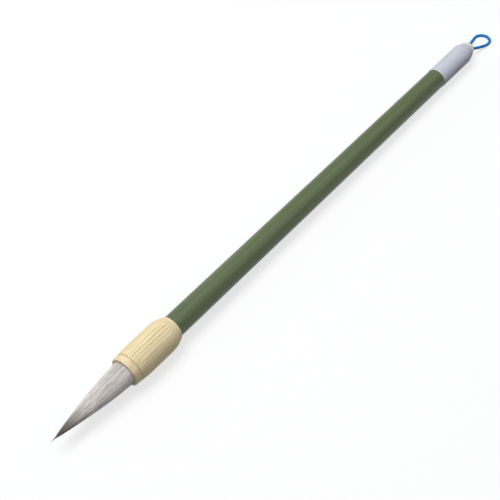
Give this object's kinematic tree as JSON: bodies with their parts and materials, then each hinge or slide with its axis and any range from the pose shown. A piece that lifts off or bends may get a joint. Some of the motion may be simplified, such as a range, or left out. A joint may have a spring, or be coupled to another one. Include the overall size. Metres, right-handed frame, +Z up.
{
  "type": "calligraphy brush",
  "caption": "Calligraphy brush with a pointed white hair tuft and dark core, a fluted pale wooden cup, a straight green handle, a plain paper label and a cord loop.",
  "frame": {"origin": "on the table under the middle of the brush, measured from the hair's tip to the end of the cap", "axes": "+X along the brush from the hair to the cap and its loop, +Y across it, +Z up from the table"},
  "size_m": [0.2928, 0.0134, 0.0135],
  "materials": {
    "green_lacquer": "dull green lacquer over a wooden tube, satin, with fine lengthwise streaks",
    "pale_wood": "pale turned wood with fine straight grain, satin",
    "ring_wood": "the same pale wood, smoother and a little darker, satin",
    "white_hair": "straight off-white goat hair, soft sheen",
    "brown_hair": "springy dark brown hair",
    "thread": "wound cotton thread, hidden in the socket",
    "rosin": "set rosin, hidden in the socket",
    "ivory_plastic": "moulded ivory plastic, satin",
    "blue_cord": "round blue cord with a soft shine",
    "label_paper": "plain cool white paper, matt"
  },
  "bodies": {
    "handle": {"handle_tube": "green_lacquer", "ferrule_cup": "pale_wood", "mouth_ring": "ring_wood", "root_binding": "thread", "rosin_seal": "rosin", "tail_cap": "ivory_plastic", "cord_knot": "blue_cord", "paper_label": "label_paper"},
    "tuft": {"cover_hair": "white_hair", "core_hair": "brown_hair"},
    "loop": {"hanging_loop": "blue_cord"}
  },
  "joints": [
    {"name": "tuft_bend", "type": "hinge", "parent": "handle", "child": "tuft", "pos_m": [-0.11101, 0, 0.00693], "axis": [0, 0, 1], "range_deg": [-45, 45], "stiffness_Nm_per_rad": 0.01, "deforming": ["cover_hair", "core_hair"]},
    {"name": "loop_swing", "type": "hinge", "parent": "handle", "child": "loop", "pos_m": [0.13648, 0, 0.00479], "axis": [0, 0, 1], "range_deg": [-65, 65], "deforming": ["hanging_loop"]}
  ]
}
